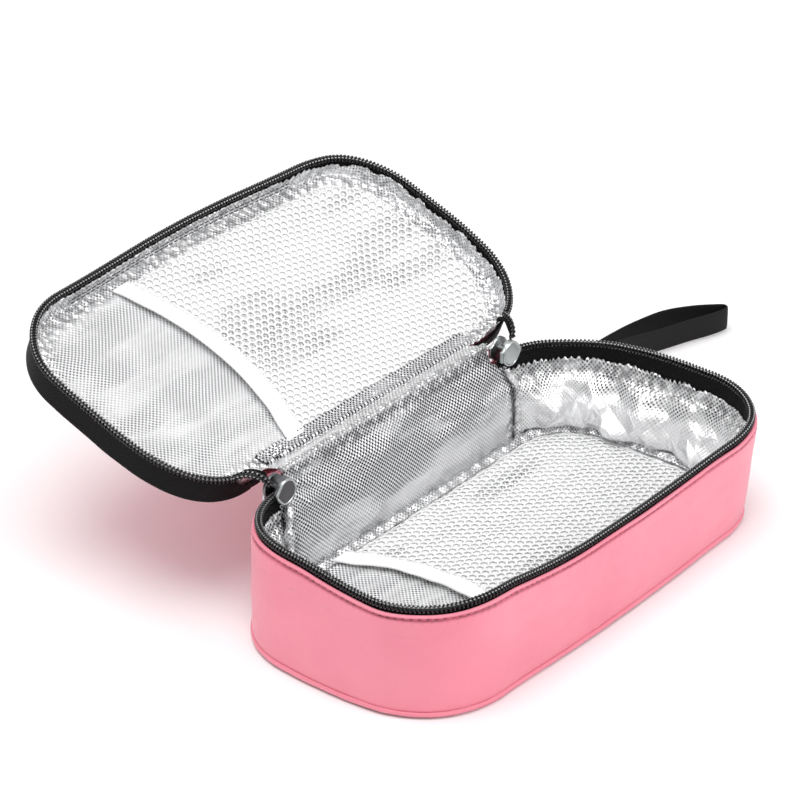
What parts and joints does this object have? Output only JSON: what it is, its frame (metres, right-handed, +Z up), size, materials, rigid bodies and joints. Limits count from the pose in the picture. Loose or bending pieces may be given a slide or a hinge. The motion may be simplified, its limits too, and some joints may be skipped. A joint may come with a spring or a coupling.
{
  "type": "insulated medicine case",
  "caption": "Soft insulated zip case for insulin pens, standing open: rounded base and lid, silver lining, mesh pockets, zip sliders and a wrist strap.",
  "frame": {"origin": "centre of the base's underside, on the surface that it rests on", "axes": "+Z up; +X along the case towards the end with the wrist strap; +Y towards the hinge and the open lid"},
  "size_m": [0.3042, 0.2138, 0.091],
  "materials": {
    "pink_fabric": "pink woven oxford fabric with a soft sheen",
    "foam": "white insulating foam, hidden between the layers",
    "foil_lining": "silver aluminised film on a fine woven backing",
    "foil_binding": "silver aluminised seam binding",
    "zip_tape": "black woven zip tape",
    "zip_coil": "black moulded coil teeth",
    "net": "white knitted mesh",
    "white_band": "white elastic binding",
    "slider_metal": "polished grey zip slider metal",
    "webbing": "black flat webbing"
  },
  "bodies": {
    "base": {"base_bottom_panel": "pink_fabric", "base_piping": "pink_fabric", "base_side_shell": "pink_fabric", "base_side_foam": "foam", "base_side_lining": "foil_lining", "base_floor_foam": "foam", "base_floor_lining": "foil_lining", "base_floor_seam_binding": "foil_binding", "base_back_shell": "pink_fabric", "base_back_foam": "foam", "base_back_lining": "foil_lining", "base_corner_seam_left": "foil_binding", "base_corner_seam_right": "foil_binding", "hinge_seam_binding": "foil_binding", "base_zip_tape": "zip_tape", "base_zip_chain": "zip_coil", "lid_zip_end_left": "zip_coil", "lid_zip_end_right": "zip_coil", "base_pocket_net": "net", "base_pocket_band": "white_band"},
    "lid": {"lid_outer_panel": "pink_fabric", "lid_foam": "foam", "lid_lining": "foil_lining", "lid_hinge_fabric": "pink_fabric", "lid_hinge_lining": "foil_lining", "lid_zip_tape": "zip_tape", "lid_zip_chain": "zip_coil", "lid_pocket_net": "net", "lid_pocket_band": "white_band"},
    "slider_left": {"slider_left": "slider_metal"},
    "pull_left": {"slider_pull_left": "slider_metal"},
    "slider_right": {"slider_right": "slider_metal"},
    "pull_right": {"slider_pull_right": "slider_metal"},
    "strap": {"wrist_strap_loop": "webbing"}
  },
  "joints": [
    {"name": "lid_hinge", "type": "hinge", "parent": "base", "child": "lid", "pos_m": [0, 0.05625, 0.0479], "axis": [1, 0, 0], "range_deg": [-21.4, 158.6], "deforming": ["lid_zip_end_left", "lid_zip_end_right"]},
    {"name": "slider_left_travel", "type": "hinge", "parent": "base", "child": "slider_left", "pos_m": [-0.067, 0.02, 0.0449], "axis": [0, 0, -1], "range_deg": [-90, 0]},
    {"name": "slider_right_travel", "type": "hinge", "parent": "base", "child": "slider_right", "pos_m": [0.067, 0.02, 0.0449], "axis": [0, 0, 1], "range_deg": [-90, 0]},
    {"name": "pull_left_swing", "type": "hinge", "parent": "slider_left", "child": "pull_left", "pos_m": [-0.067, 0.0558, 0.0449], "axis": [0, 1, 0], "range_deg": [-35, 90]},
    {"name": "pull_right_swing", "type": "hinge", "parent": "slider_right", "child": "pull_right", "pos_m": [0.067, 0.0558, 0.0449], "axis": [0, 1, 0], "range_deg": [-90, 35]},
    {"name": "strap_swing", "type": "hinge", "parent": "base", "child": "strap", "pos_m": [0.0673, 0.055, 0.022], "axis": [0, 0, 1], "range_deg": [-5, 160]}
  ]
}
